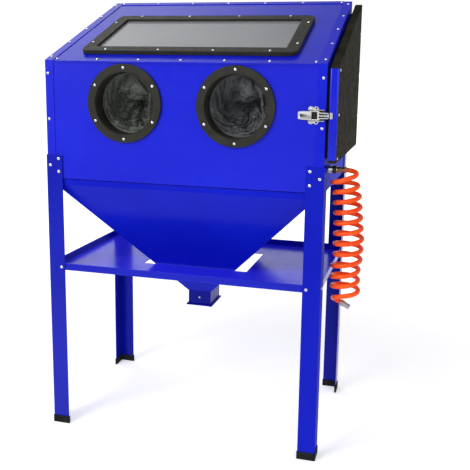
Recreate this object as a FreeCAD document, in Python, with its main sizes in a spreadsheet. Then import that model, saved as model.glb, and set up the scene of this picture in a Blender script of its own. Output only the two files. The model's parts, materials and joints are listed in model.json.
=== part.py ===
"""Floor-standing sandblast cabinet: sheet-steel body with a sloped window roof, glove ports,
a side door with a toggle latch, a hopper through a shelf, four angle legs and an air hose.

Frame: millimetres, +Z up, +X towards the door side, -Y is the front with the glove ports.
The cabinet is drawn about its own middle (x = 0), its front plane (y = 0) and the floor (z = 0),
and every sub-part's Placement then moves it so that the origin is the bottom centre of the box.
"""
import FreeCAD, Part
import Sketcher
import math
import os

from FreeCAD import Placement, Rotation, Vector

doc = FreeCAD.newDocument("SandblastCabinet")
sheet = doc.addObject("Spreadsheet::Sheet", "Dims")

DIMENSIONS = {
    # body and roof
    "half_width": 430, "total_height": 1380, "front_top": 1168, "roof_depth": 536, "roof_half": 426,
    "body_bottom": 808, "body_rear": 531.5, "skin_front": 2.5, "gauge": 2, "flange": 27,
    # legs, feet and shelf
    "leg_gauge": 2.5, "leg_flange": 52.5, "leg_top": 883, "leg_rear": 534, "foot_tall": 24, "foot_wall": 2,
    "shelf_floor": 518, "shelf_rim": 22, "cutout_half": 173, "cutout_front": 153, "cutout_rear": 389,
    # hopper and its outlet
    "hopper_half": 406, "hopper_front": 8, "hopper_rear": 514, "hopper_shoulder": 790,
    "neck_half": 38, "neck_front": 210, "neck_rear": 312, "neck_top": 423, "neck_bottom": 377,
    "outlet_lip": 6, "gate_gauge": 2, "gate_gap": 0.3,
    # glove ports
    "port_spread": 169.8, "port_level": 1045, "port_ring": 115.75, "port_bore": 93.5,
    "collar_bore": 91.5, "ring_front": -4.5, "collar_rear": 50,
    # window, measured along the slope from its front edge
    "window_half": 334, "window_front": 57, "window_rear": 391, "window_bar": 38, "window_thick": 13,
    "window_round": 24, "glass_half": 312, "glass_front": 80, "glass_rear": 368, "glass_gauge": 4,
    # door
    "door_inner": 436.5, "door_outer": 460, "door_bottom": 897, "door_rear": 545, "door_drop": 8,
    "hinge_x": 433, "hinge_y": 545, "hinge_outer": 3, "hinge_bore": 1.5, "hinge_tall": 60,
    # latch
    "latch_level": 1028, "latch_pivot_x": 398, "latch_pivot_y": -5,
    # air inlet
    "inlet_y": 66, "inlet_level": 872,
    # inside
    "grate_level": 813, "exhaust_x": 250, "exhaust_level": 1190, "exhaust_bore": 30,
}
for row, (alias, value) in enumerate(DIMENSIONS.items(), start=1):
    sheet.set(f"A{row}", alias)
    sheet.set(f"B{row}", str(value))
    sheet.setAlias(f"B{row}", alias)
doc.recompute()


def dim(expression):
    """Value of a length, given as a number or as an expression of the sheet's aliases."""
    if isinstance(expression, (int, float)):
        return float(expression)
    result = sheet.evalExpression(expression)
    return float(getattr(result, "Value", result))


D = {alias: float(sheet.get(alias)) for alias in DIMENSIONS}
RISE = (D["total_height"] - D["front_top"]) / D["roof_depth"]
SLOPE = math.atan(RISE)
SLOPE_LENGTH = D["roof_depth"] / math.cos(SLOPE)
FRONTMOST, REARMOST = -13.0, D["hinge_y"] + D["hinge_outer"]
LEFTMOST, RIGHTMOST = D["half_width"] + 2.0, D["door_outer"] + 2.0
ORIGIN = Placement(Vector((LEFTMOST - RIGHTMOST) / 2, -(FRONTMOST + REARMOST) / 2, 0), Rotation())
ON_ROOF = ORIGIN.multiply(Placement(Vector(0, 0, D["front_top"]), Rotation(Vector(1, 0, 0), math.degrees(SLOPE))))

nodes = []


def register(thing, name, place=ORIGIN):
    """Names a finished sub-part, moves it into the part's frame and lists it for export."""
    thing.Label = name
    thing.Placement = place
    nodes.append(thing)
    return thing


def feature(name, shape, place=ORIGIN):
    """A sub-part whose shape is made with Part's own functions."""
    thing = doc.addObject("Part::Feature", name)
    thing.Shape = shape
    return register(thing, name, place)


def to_sheet(text):
    """Turns 'half_width - gauge' into 'Dims.half_width - Dims.gauge'."""
    if isinstance(text, (int, float)):
        return str(float(text))
    words = text.replace("(", "( ").replace(")", " )").split()
    return " ".join("Dims." + w if w in DIMENSIONS else w for w in words)


def roof_line(y):
    """Expression for the height of the roof's outer plane above a depth y."""
    return f"front_top + ( {y} ) * ( total_height - front_top ) / roof_depth"


def new_sketch(body, plane, start):
    """An empty sketch on one of the body's planes, moved to `start` along that plane's axis."""
    sketch = body.newObject("Sketcher::SketchObject", body.Name + "_sketch")
    support = [f for f in body.Origin.OriginFeatures if f.Role == plane + "_Plane"][0]
    sketch.AttachmentSupport = (support, [""])
    sketch.MapMode = "FlatFace"
    sign = "-1 * " if plane == "XZ" else ""
    sketch.setExpression("AttachmentOffset.Base.z", f"{sign}( {to_sheet(start)} )")
    return sketch


def bind(sketch, constraint, name, expression):
    """Adds a named constraint and ties it to the sheet."""
    index = sketch.addConstraint(constraint)
    sketch.renameConstraint(index, name)
    sketch.setExpression("Constraints." + name, to_sheet(expression))


def polygon(sketch, corners, tag=""):
    """A closed outline of straight lines whose corners are bound to the sheet."""
    first = sketch.GeometryCount
    points = [Vector(dim(to_sheet(x)), dim(to_sheet(y)), 0) for x, y in corners]
    count = len(points)
    for i in range(count):
        sketch.addGeometry(Part.LineSegment(points[i], points[(i + 1) % count]), False)
    for i in range(count):
        follower = first + (i + 1) % count
        sketch.addConstraint(Sketcher.Constraint("Coincident", first + i, 2, follower, 1))
    for i, (x, y) in enumerate(corners):
        line = first + i
        bind(sketch, Sketcher.Constraint("DistanceX", -1, 1, line, 1, points[i].x), f"{tag}x{i}", x)
        bind(sketch, Sketcher.Constraint("DistanceY", -1, 1, line, 1, points[i].y), f"{tag}y{i}", y)


def circle(sketch, x, y, radius, tag=""):
    """A circle whose centre and radius are bound to the sheet."""
    centre = Vector(dim(to_sheet(x)), dim(to_sheet(y)), 0)
    index = sketch.addGeometry(Part.Circle(centre, Vector(0, 0, 1), dim(to_sheet(radius))), False)
    bind(sketch, Sketcher.Constraint("Radius", index, dim(to_sheet(radius))), tag + "radius", radius)
    bind(sketch, Sketcher.Constraint("DistanceX", -1, 1, index, 3, centre.x), tag + "centre_x", x)
    bind(sketch, Sketcher.Constraint("DistanceY", -1, 1, index, 3, centre.y), tag + "centre_y", y)


def extrude(body, kind, plane, start, length, draw):
    """Pad or Pocket that runs from `start` towards the plane's positive axis for `length`."""
    sketch = new_sketch(body, plane, start)
    draw(sketch)
    doc.recompute()
    before = body.Shape.Volume if body.Tip else 0.0
    operation = body.newObject("PartDesign::" + kind, f"{body.Name}_{kind.lower()}")
    operation.Profile = sketch
    operation.setExpression("Length", to_sheet(length))
    operation.Reversed = (plane == "XZ") if kind == "Pad" else (plane != "XZ")
    sketch.Visibility = False
    doc.recompute()
    grown = body.Shape.Volume - before
    if (grown <= 0) if kind == "Pad" else (grown >= 0):
        raise RuntimeError(f"{operation.Name} did nothing")
    return operation


def pad(body, plane, start, length, draw):
    return extrude(body, "Pad", plane, start, length, draw)


def pocket(body, plane, start, length, draw):
    return extrude(body, "Pocket", plane, start, length, draw)


def new_body(name):
    return doc.addObject("PartDesign::Body", name)


def rectangle(x0, x1, y0, y1):
    return [(x0, y0), (x1, y0), (x1, y1), (x0, y1)]


def block(x0, x1, y0, y1, z0, z1):
    return Part.makeBox(x1 - x0, y1 - y0, z1 - z0, Vector(x0, y0, z0))


def rod(radius, start, end):
    run = Vector(*end) - Vector(*start)
    return Part.makeCylinder(radius, run.Length, Vector(*start), run)


def pan_head(radius, height, at, direction):
    """A screw's pan head: a cylinder whose outer rim is rounded, standing on a surface."""
    head = Part.makeCylinder(radius, height)
    rim = [e for e in head.Edges if len(e.Vertexes) == 1 and e.CenterOfMass.z > height / 2]
    head = head.makeFillet(height * 0.6, rim)
    head.Placement = Placement(Vector(*at), Rotation(Vector(0, 0, 1), Vector(*direction)))
    return head


def group(name, solids, place=ORIGIN):
    """Identical fasteners share one node as separate solids."""
    return feature(name, Part.makeCompound(solids), place)




# ---------------------------------------------------------------- body shells

def side_tray(name, left):
    """Side panel folded into a tray: a wall with a flange round its edge."""
    body = new_body(name)
    front, rear, low = "skin_front", "body_rear", "body_bottom"
    start = "-1 * half_width + leg_gauge" if left else "half_width - leg_gauge - flange"
    outer = [(front, low), (rear, low), (rear, roof_line("body_rear")), (front, roof_line("skin_front"))]
    pad(body, "YZ", start, "flange", lambda s: polygon(s, outer))
    inner_start = "-1 * half_width + leg_gauge + gauge" if left else start
    drop = f" - gauge * {math.sqrt(1 + RISE ** 2):.4f}"
    inner = [("skin_front + gauge", "body_bottom + gauge"), ("body_rear - gauge", "body_bottom + gauge"),
             ("body_rear - gauge", roof_line("body_rear - gauge") + drop),
             ("skin_front + gauge", roof_line("skin_front + gauge") + drop)]
    pocket(body, "YZ", inner_start, "flange - gauge", lambda s: polygon(s, inner))
    return body


def make_side_panels():
    register(side_tray("left_side_panel", True), "left_side_panel")
    right = side_tray("right_side_panel", False)
    sill, margin = "door_bottom + 38", " - 62"
    opening = [(45, sill), (488, sill), (488, roof_line("488") + margin), (45, roof_line("45") + margin)]
    wall = "half_width - leg_gauge - gauge"
    pocket(right, "YZ", wall, "gauge", lambda s: polygon(s, opening))
    pocket(right, "YZ", wall, "gauge", lambda s: circle(s, "inlet_y", "inlet_level", 8))
    register(right, "right_side_panel")


def make_front_panel():
    body = new_body("front_panel")
    face = rectangle("-1 * roof_half + 1", "roof_half - 1", "body_bottom + gauge", "front_top - 3.5")
    pad(body, "XZ", "skin_front + gauge", "gauge", lambda s: polygon(s, face))
    for side, tag in ((-1, "left"), (1, "right")):
        pocket(body, "XZ", "skin_front + gauge", "gauge",
               lambda s: circle(s, f"{side} * port_spread", "port_level", "port_bore", tag))
    register(body, "front_panel")


def make_rear_panel():
    body = new_body("rear_panel")
    top = roof_line("body_rear") + " - 9"
    face = rectangle("-1 * roof_half + 1", "roof_half - 1", "body_bottom + gauge + 0.5", top)
    pad(body, "XZ", "body_rear - 2 * gauge", "gauge", lambda s: polygon(s, face))
    pocket(body, "XZ", "body_rear - 2 * gauge", "gauge",
           lambda s: circle(s, "exhaust_x", "exhaust_level", "exhaust_bore + 3"))
    register(body, "rear_panel")


def make_roof_panel():
    """Drawn flat: x across, y up the slope, z out of the roof's outer plane."""
    sheet_top = -D["gauge"]
    skin = block(-D["roof_half"] + 1, D["roof_half"] - 1, 4.3, SLOPE_LENGTH - 8.8, sheet_top - D["gauge"],
                 sheet_top)
    skin = skin.fuse(block(-400, 400, 3, SLOPE_LENGTH - 0.8, sheet_top - D["gauge"], sheet_top))
    bar = D["window_bar"] - 8
    hole = block(-D["window_half"] + bar, D["window_half"] - bar, D["window_front"] + bar,
                 D["window_rear"] - bar, -20, 20)
    shell = skin.cut(hole)
    shell.Placement = Placement(Vector(0, 0, D["front_top"]), Rotation(Vector(1, 0, 0), math.degrees(SLOPE)))
    edge = D["front_top"] + RISE * 0.5
    lip = block(-398, 398, 0.5, 4.3, edge - 6.2, edge - 2.2)
    rear_lip = block(-400, 400, D["roof_depth"] - 2, D["roof_depth"], D["total_height"] - 16,
                     D["total_height"] - 2.6)
    hem = block(-399, 399, SLOPE_LENGTH - 26, SLOPE_LENGTH - 0.8, sheet_top, 0)
    hem.Placement = shell.Placement
    feature("roof_panel", shell.fuse([lip, rear_lip, hem]).removeSplitter())


# ---------------------------------------------------------------- legs, feet and shelf

def corner_signs():
    return [(x, y, ("front" if y < 0 else "rear") + ("_left" if x < 0 else "_right"))
            for y in (-1, 1) for x in (-1, 1)]


def angle_outline(sx, sy, wide, thick, grow=0.0):
    """L section of a leg, its corner at one corner of the frame."""
    cx, cy = f"{sx} * ( half_width + {grow} )", (f"leg_rear + {grow}" if sy > 0 else f"-{grow}")
    ix, iy = -sx, -sy
    return [(cx, cy), (f"{cx} + {ix} * ( {wide} )", cy),
            (f"{cx} + {ix} * ( {wide} )", f"{cy} + {iy} * {thick}"),
            (f"{cx} + {ix} * {thick}", f"{cy} + {iy} * {thick}"),
            (f"{cx} + {ix} * {thick}", f"{cy} + {iy} * ( {wide} )"),
            (cx, f"{cy} + {iy} * ( {wide} )")]


def make_legs_and_feet():
    for sx, sy, where in corner_signs():
        leg = new_body("leg_" + where)
        section = angle_outline(sx, sy, "leg_flange", "leg_gauge")
        pad(leg, "XY", "foot_wall", "leg_top - foot_wall", lambda s: polygon(s, section))
        register(leg, "leg_" + where)
        foot = new_body("foot_" + where)
        shoe = angle_outline(sx, sy, "leg_flange + 2 * foot_wall", "( leg_gauge + 2 * foot_wall )", D["foot_wall"])
        pad(foot, "XY", 0, "foot_tall", lambda s: polygon(s, shoe))
        pocket(foot, "XY", "foot_wall", "foot_tall", lambda s: polygon(s, section))
        register(foot, "foot_" + where)


def make_shelf():
    """A tray with upturned rims, notched by the hopper's cut-out, whose edge is folded down."""
    body = new_body("shelf")
    tray = rectangle("-1 * half_width + leg_gauge", "half_width - leg_gauge", "leg_gauge", "leg_rear - leg_gauge")
    well = rectangle("-1 * half_width + leg_gauge + gauge", "half_width - leg_gauge - gauge",
                     "leg_gauge + gauge", "leg_rear - leg_gauge - gauge")
    hole = rectangle("-1 * cutout_half", "cutout_half", "cutout_front", "cutout_rear")
    pad(body, "XY", "shelf_floor", "shelf_rim", lambda s: polygon(s, tray))
    pocket(body, "XY", "shelf_floor + gauge", "shelf_rim", lambda s: polygon(s, well))
    pocket(body, "XY", "shelf_floor", "gauge", lambda s: polygon(s, hole))
    register(body, "shelf")


# ---------------------------------------------------------------- hopper and outlet

def ring_wire(half, front, rear, level):
    points = [Vector(-half, front, level), Vector(half, front, level),
              Vector(half, rear, level), Vector(-half, rear, level)]
    return Part.makePolygon(points + points[:1])


def funnel(inset):
    """Solid inside of the hopper: an upright rim over four walls that slope to the neck."""
    rim = (D["hopper_half"] - inset, D["hopper_front"] + inset, D["hopper_rear"] - inset)
    neck = (D["neck_half"] - inset, D["neck_front"] + inset, D["neck_rear"] - inset)
    upper = Part.makeLoft([ring_wire(*rim, D["body_bottom"] + inset), ring_wire(*rim, D["hopper_shoulder"])],
                          True, True)
    walls = Part.makeLoft([ring_wire(*rim, D["hopper_shoulder"]), ring_wire(*neck, D["neck_top"])], True, True)
    return upper.fuse(walls)


def make_hopper():
    shell = funnel(0).cut(funnel(D["gauge"]))
    brim = block(-D["roof_half"] + 2, D["roof_half"] - 2, 6.6, D["body_rear"] - 5, D["body_bottom"] - 2,
                 D["body_bottom"])
    brim = brim.cut(block(-D["hopper_half"] + 1, D["hopper_half"] - 1, D["hopper_front"] + 1,
                          D["hopper_rear"] - 1, D["body_bottom"] - 5, D["body_bottom"] + 5))
    inside = block(-D["neck_half"] + 2, D["neck_half"] - 2, D["neck_front"] + 2, D["neck_rear"] - 2, 300, 440)
    keep = block(-500, 500, -50, 600, D["neck_top"], D["body_bottom"])
    feature("hopper", shell.common(keep).cut(inside).fuse(brim).removeSplitter())


def make_outlet():
    """Square neck under the hopper with a turned-out lip, and the gate that swings across it."""
    body = new_body("hopper_outlet")
    lip = rectangle("-1 * neck_half - outlet_lip", "neck_half + outlet_lip",
                    "neck_front - outlet_lip", "neck_rear + outlet_lip")
    outer = rectangle("-1 * neck_half", "neck_half", "neck_front", "neck_rear")
    bore = rectangle("-1 * neck_half + gauge", "neck_half - gauge", "neck_front + gauge", "neck_rear - gauge")
    pad(body, "XY", "neck_bottom", "gauge", lambda s: polygon(s, lip))
    pad(body, "XY", "neck_bottom + gauge", "neck_top - neck_bottom - gauge", lambda s: polygon(s, outer))
    pocket(body, "XY", "neck_bottom", "neck_top - neck_bottom", lambda s: polygon(s, bore))
    register(body, "hopper_outlet")

    gate = new_body("outlet_gate")
    level = "neck_bottom - gate_gap - gate_gauge"
    pad(gate, "XY", level, "gate_gauge", lambda s: polygon(s, lip))
    pivot = ("neck_half + 1", "neck_front - 1")
    pocket(gate, "XY", level, "gate_gauge", lambda s: circle(s, *pivot, 2.05))
    edge = "-1 * neck_half - outlet_lip"
    grip = rectangle(edge, edge + " + gauge", 276, 314)
    pad(gate, "XY", level + " - 14", "14", lambda s: polygon(s, grip))
    register(gate, "outlet_gate")

    x, y = D["neck_half"] + 1, D["neck_front"] - 1
    low = D["neck_bottom"] - D["gate_gap"] - D["gate_gauge"]
    screw = rod(2, (x, y, low - 0.3), (x, y, D["neck_bottom"])).fuse(rod(4, (x, y, low - 3), (x, y, low - 0.3)))
    feature("gate_pivot_screw", screw)


# ---------------------------------------------------------------- glove ports

def make_glove_ports():
    for side, where in ((-1, "left"), (1, "right")):
        centre = (f"{side} * port_spread", "port_level")
        ring = new_body("glove_ring_" + where)
        pad(ring, "XZ", "ring_front", "skin_front + gauge - ring_front", lambda s: circle(s, *centre, "port_ring"))
        pocket(ring, "XZ", "ring_front", "skin_front + gauge - ring_front",
               lambda s: circle(s, *centre, "port_bore"))
        register(ring, "glove_ring_" + where)
        collar = new_body("glove_collar_" + where)
        pad(collar, "XZ", "ring_front", "collar_rear - ring_front", lambda s: circle(s, *centre, "port_bore"))
        pocket(collar, "XZ", "ring_front", "collar_rear - ring_front",
               lambda s: circle(s, *centre, "collar_bore"))
        register(collar, "glove_collar_" + where)
        make_glove(side, where)


def make_glove(side, where):
    """Sleeve that narrows inwards from the collar and droops to a mitt-shaped hand."""
    x, z = side * D["port_spread"], D["port_level"]
    cuff_radius = D["collar_bore"] - 1.0
    cuff = Part.makeCylinder(cuff_radius, 52, Vector(x, 44, z), Vector(0, 1, 0))
    bend, wrist, fingertips = Vector(x, 96, z), Vector(x, 232, z - 88), Vector(x, 292, z - 178)
    elbow = Part.makeSphere(cuff_radius, bend)
    rim = Part.makeBox(400, 200, 400, Vector(x - 200, 44 - 200, z - 200))
    sleeve = Part.makeCone(80, 46, (wrist - bend).Length, bend, wrist - bend)
    palm = Part.makeSphere(45.5, wrist)
    hand = Part.makeCone(46, 26, (fingertips - wrist).Length, wrist, fingertips - wrist)
    feature("glove_" + where, cuff.fuse([elbow, sleeve, palm, hand]).cut(rim).removeSplitter())


# ---------------------------------------------------------------- window

def frame_ring(half, front, rear, inner_half, inner_front, inner_rear, low, high):
    return block(-half, half, front, rear, low, high).cut(
        block(-inner_half, inner_half, inner_front, inner_rear, low - 1, high + 1))


def make_window():
    bar, seat = "window_bar", "-1 * gauge"
    frame = new_body("window_frame")
    outer = rectangle("-1 * window_half", "window_half", "window_front", "window_rear")
    inner = rectangle(f"-1 * window_half + {bar}", f"window_half - {bar}", f"window_front + {bar}",
                      f"window_rear - {bar}")
    rebate = rectangle("-1 * glass_half - 0.2", "glass_half + 0.2", "glass_front - 0.2", "glass_rear + 0.2")
    pad(frame, "XY", seat, "window_thick", lambda s: polygon(s, outer))
    pocket(frame, "XY", seat, "window_thick", lambda s: polygon(s, inner))
    pocket(frame, "XY", seat, "glass_gauge + 1", lambda s: polygon(s, rebate))
    half, front, rear = D["window_half"] - 5, D["window_front"] + 5, D["window_rear"] - 5

    def within(p):
        return abs(p.x) < half and front < p.y < rear

    corners = [f"Edge{n}" for n, e in enumerate(frame.Shape.Edges, start=1)
               if len(e.Vertexes) == 2 and abs(e.Vertexes[0].Z - e.Vertexes[1].Z) > D["window_thick"] - 1
               and not within(e.CenterOfMass)]
    cut_frame = frame.Tip
    fillet = frame.newObject("PartDesign::Fillet", "window_frame_fillet")
    fillet.Base = (cut_frame, corners)
    fillet.setExpression("Radius", "Dims.window_round")
    register(frame, "window_frame", ON_ROOF)

    bottom = -D["gauge"]
    gasket = frame_ring(D["glass_half"], D["glass_front"], D["glass_rear"], D["glass_half"] - 12,
                        D["glass_front"] + 12, D["glass_rear"] - 12, bottom, bottom + 1)
    feature("window_gasket", gasket, ON_ROOF)
    pane = block(-D["glass_half"], D["glass_half"], D["glass_front"], D["glass_rear"], bottom + 1,
                 bottom + 1 + D["glass_gauge"])
    feature("window_glass", pane, ON_ROOF)


# ---------------------------------------------------------------- door, hinges and latch

def door_outline(inset=0.0):
    """Side view of the door, optionally drawn in from its edges."""
    drop = f" - door_drop - {inset * 1.08:.3f}"
    return [(inset, f"door_bottom + {inset}"), (f"door_rear - {inset}", f"door_bottom + {inset}"),
            (f"door_rear - {inset}", roof_line(f"door_rear - {inset}") + drop + " - 7"),
            (inset, roof_line(str(inset)) + drop)]


def make_door():
    door = new_body("door_panel")
    pad(door, "YZ", "door_inner", "door_outer - door_inner", lambda s: polygon(s, door_outline()))
    pocket(door, "YZ", "door_inner", "door_outer - door_inner - gauge", lambda s: polygon(s, door_outline(2.0)))
    register(door, "door_panel")

    liner = new_body("door_liner")
    back = [(6, "door_bottom + 6"), (503, "door_bottom + 6"), (503, roof_line("503") + " - 24"),
            (6, roof_line("6") + " - 18")]
    pad(liner, "YZ", "door_inner - gauge", "gauge", lambda s: polygon(s, back))
    register(liner, "door_liner")

    seal = new_body("door_seal")
    outer = [(14, "door_bottom + 12"), (500, "door_bottom + 12"), (500, roof_line("500") + " - 30"),
             (14, roof_line("14") + " - 24")]
    inner = [(28, "door_bottom + 26"), (494, "door_bottom + 26"), (494, roof_line("494") + " - 45"),
             (28, roof_line("28") + " - 39")]
    depth = "door_inner - gauge - half_width + leg_gauge - 0.5"
    start = "half_width - leg_gauge + 0.5"
    pad(seal, "YZ", start, depth, lambda s: polygon(s, outer))
    pocket(seal, "YZ", start, depth, lambda s: polygon(s, inner))
    register(seal, "door_seal")

    strip = new_body("door_edge_strip")
    face = rectangle("door_inner + 0.3", "door_outer - 0.3", "door_bottom + 8", "front_top - 12")
    pad(strip, "XZ", -1.5, 1.5, lambda s: polygon(s, face))
    register(strip, "door_edge_strip")


HINGE_LEVELS = (998, 1132, 1273)


def make_hinges():
    """Three butt hinges: two outer knuckles on the cabinet's leaf, one middle knuckle on the door's."""
    x, y, tall = D["hinge_x"], D["hinge_y"], D["hinge_tall"]
    skin = D["half_width"] - D["leg_gauge"]
    fixed, moving, pins = [], [], []
    for level in HINGE_LEVELS:
        low = level - tall / 2
        middle = (low + tall / 3 + 0.2, low + 2 * tall / 3 - 0.2)
        ends = ((low, low + tall / 3), (low + 2 * tall / 3, low + tall))
        leaf = block(skin, skin + 2, 508, y, low, low + tall)
        for z0, z1 in ends:
            web = block(skin, x, y - 2.8, y, z0, z1)
            leaf = leaf.fuse([web, rod(D["hinge_outer"], (x, y, z0), (x, y, z1))])
        fixed.append(leaf.cut(rod(D["hinge_bore"], (x, y, low), (x, y, low + tall))).removeSplitter())
        door_leaf = block(D["door_inner"] - 2, D["door_inner"], 508, y - 4.2, low, low + tall)
        web = block(x, D["door_inner"], y - 5, y, *middle)
        knuckle = rod(D["hinge_outer"], (x, y, middle[0]), (x, y, middle[1]))
        bore = rod(D["hinge_bore"] + 0.06, (x, y, low), (x, y, low + tall))
        moving.append(door_leaf.fuse([web, knuckle]).cut(bore).removeSplitter())
        pins.append(rod(D["hinge_bore"], (x, y, low), (x, y, low + tall)))
    group("hinge_leaves_body", fixed)
    group("hinge_leaves_door", moving)
    group("hinge_pins", pins)


LEVER_HALF, TINE_INNER, TINE_OUTER, CHEEK_INNER, CHEEK_OUTER, EAR_REACH = 9.5, 10.2, 13.2, 14.2, 16.0, 24.5


def make_latch():
    """Over-centre toggle latch: a cheeked base, a lever, and a forked hook arm that reaches the door."""
    x, y, z = D["latch_pivot_x"], D["latch_pivot_y"], D["latch_level"]
    face = D["skin_front"]
    plate = block(385, 424, face - 2, face, z - CHEEK_OUTER, z + CHEEK_OUTER)
    lobes = [rod(8, (at, face - 2, z + s * (EAR_REACH - 8)), (at, face, z + s * (EAR_REACH - 8)))
             for s in (-1, 1) for at in (386, 400)]
    cheeks = [block(391, 424, y - 3.5, face - 1, *sorted((z + s * CHEEK_INNER, z + s * CHEEK_OUTER)))
              for s in (-1, 1)]
    spare_holes = [rod(2.6, (401, face - 9, z + s * 19.8), (401, face + 9, z + s * 19.8)) for s in (-1, 1)]
    base = plate.fuse(lobes + cheeks).cut(Part.makeCompound(spare_holes))
    feature("latch_base", base.cut(rod(1.8, (x, y, z - 20), (x, y, z + 20))).removeSplitter())
    feature("latch_pin", rod(1.8, (x, y, z - CHEEK_OUTER), (x, y, z + CHEEK_OUTER)))

    qx, qy = x - 10, y - 4
    hub = rod(4.4, (x, y, z - LEVER_HALF), (x, y, z + LEVER_HALF))
    web = block(qx - 10, x, qy - 3.2, y + 2.2, z - LEVER_HALF, z + LEVER_HALF)
    grip = block(352, qx - 9, qy - 3.2, qy - 0.2, z - 12, z + 12)
    tip = rod(1.8, (353.8, qy - 2.2, z - 12), (353.8, qy - 2.2, z + 12))
    lever = hub.fuse([web, grip, tip]).cut(rod(1.86, (x, y, z - 15), (x, y, z + 15)))
    lever = lever.cut(rod(1.56, (qx, qy, z - 15), (qx, qy, z + 15)))
    feature("latch_lever", lever.removeSplitter())

    fork = [block(qx - 2, 408, qy - 1.5, qy + 1.5, *sorted((z + s * TINE_INNER, z + s * TINE_OUTER)))
            for s in (-1, 1)]
    bridge = block(404.5, 410, qy - 1.5, qy + 1.5, z - TINE_OUTER, z + TINE_OUTER)
    arm = block(409, 437, qy - 1.5, qy + 1.5, z - 4.5, z + 4.5)
    claw = block(434.5, 437, qy - 1.5, qy + 4.5, z - 8, z + 8)
    cross_pin = rod(1.5, (qx, qy, z - TINE_OUTER), (qx, qy, z + TINE_OUTER))
    feature("latch_hook", cross_pin.fuse(fork + [bridge, arm, claw]).removeSplitter())

    strip = -1.5
    foot = block(438.5, 455, strip - 1.5, strip, z - 10.5, z + 14.5)
    catch = block(441, 443.4, strip - 7, strip, z - 10.5, z + 14.5)
    feature("latch_keeper", foot.fuse(catch).removeSplitter())


# ---------------------------------------------------------------- air inlet and hose

HOSE_Y, HOSE_RADIUS, COIL_RADIUS = 62.0, 6.75, 46.0
COIL_AXIS = [Vector(480, HOSE_Y, 856), Vector(498, HOSE_Y, 650), Vector(491, HOSE_Y, 508)]


def hexagon(across, start, end):
    radius = across / math.sqrt(3)
    run = Vector(*end) - Vector(*start)
    points = [Vector(0, radius * math.cos(a), radius * math.sin(a))
              for a in (math.radians(60 * k) for k in range(6))]
    face = Part.Face(Part.makePolygon(points + points[:1]))
    face.translate(Vector(*start))
    return face.extrude(run)


def make_air_inlet():
    """Bulkhead coupler on the side wall: a locknut inside, a body outside and a sprung sleeve."""
    y, z = D["inlet_y"], D["inlet_level"]
    wall = D["half_width"] - D["leg_gauge"]
    stem = rod(7.9, (wall - 14, y, z), (wall, y, z))
    flats = hexagon(21, (wall, y, z), (wall + 6, y, z))
    neck = rod(8.5, (wall + 6, y, z), (wall + 29, y, z))
    collar = rod(10.5, (wall + 6, y, z), (wall + 11, y, z))
    bore = rod(5, (wall - 15, y, z), (wall + 30, y, z))
    feature("air_inlet_body", stem.fuse([flats, neck, collar]).cut(bore).removeSplitter())
    nut = hexagon(22, (wall - 8, y, z), (wall - D["gauge"], y, z)).cut(stem)
    feature("air_inlet_nut", nut)
    sleeve = rod(11, (wall + 16, y, z), (wall + 28, y, z)).cut(rod(8.56, (wall, y, z), (wall + 40, y, z)))
    feature("coupler_sleeve", sleeve)
    return wall + 29


def make_hose(plug_start):
    """The hose's own end fitting, the fat tube that its coil fills, and the connector it ends in."""
    y, z = D["inlet_y"], D["inlet_level"]
    plug_end = plug_start + 27
    plug = rod(4.9, (plug_start - 14, y, z), (plug_start, y, z))
    plug = plug.fuse([rod(8.2, (plug_start, y, z), (plug_end - 9, y, z)),
                      rod(9, (plug_end - 9, y, z), (plug_end, y, z))])
    feature("hose_plug", plug.removeSplitter())
    lead = rod(HOSE_RADIUS, (plug_end, y, z), (497, y, z))
    elbow = Part.makeSphere(HOSE_RADIUS, Vector(497, y, z))
    drop = rod(HOSE_RADIUS, (497, y, z), (497, y, 850))
    top, waist, bottom = COIL_AXIS
    coil = [Part.makeCylinder(COIL_RADIUS, (b - a).Length, a, b - a) for a, b in ((top, waist), (waist, bottom))]
    coil.append(Part.makeSphere(COIL_RADIUS, waist))
    bend, tail_end = Vector(466, HOSE_Y, 489.5), Vector(481, HOSE_Y, 482)
    tail = [rod(HOSE_RADIUS, (464, HOSE_Y, 525), tuple(bend)), Part.makeSphere(HOSE_RADIUS, bend),
            rod(HOSE_RADIUS, tuple(bend), tuple(tail_end))]
    feature("hose_coil", lead.fuse([elbow, drop] + coil + tail).removeSplitter())
    aim = (tail_end - bend).normalize()
    ferrule = Part.makeCylinder(8.5, 13, tail_end, aim)
    end_nut = Part.makeCylinder(7.5, 17, tail_end + aim * 13, aim)
    connector = ferrule.fuse(end_nut)
    connector = connector.cut(Part.makeCylinder(4, 14, tail_end + aim * 20, aim))
    feature("hose_connector", connector.removeSplitter())


# ---------------------------------------------------------------- inside the cabinet

def make_grate():
    """Slotted work plate on two angle rails."""
    level = D["grate_level"]
    plate = block(-396, 396, 12, 522, level, level + 2.5)
    slots = [block(x - 3.5, x + 3.5, y, y + 78, level - 1, level + 4)
             for x in range(-378, 379, 18) for y in (26, 128, 230, 332, 434)]
    feature("work_grate", plate.cut(Part.makeCompound(slots)))
    wall_front, wall_rear = D["skin_front"] + 2 * D["gauge"], D["body_rear"] - 2 * D["gauge"]
    for where, wall, inward in (("front", wall_front, 1), ("rear", wall_rear, -1)):
        y0, y1 = sorted((wall, wall + inward * 20))
        v0, v1 = sorted((wall, wall + inward * 2))
        shelf_leg = block(-396, 396, y0, y1, level - 2, level)
        wall_leg = block(-396, 396, v0, v1, level, level + 18)
        feature(f"grate_rail_{where}", shelf_leg.fuse(wall_leg).removeSplitter())


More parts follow.
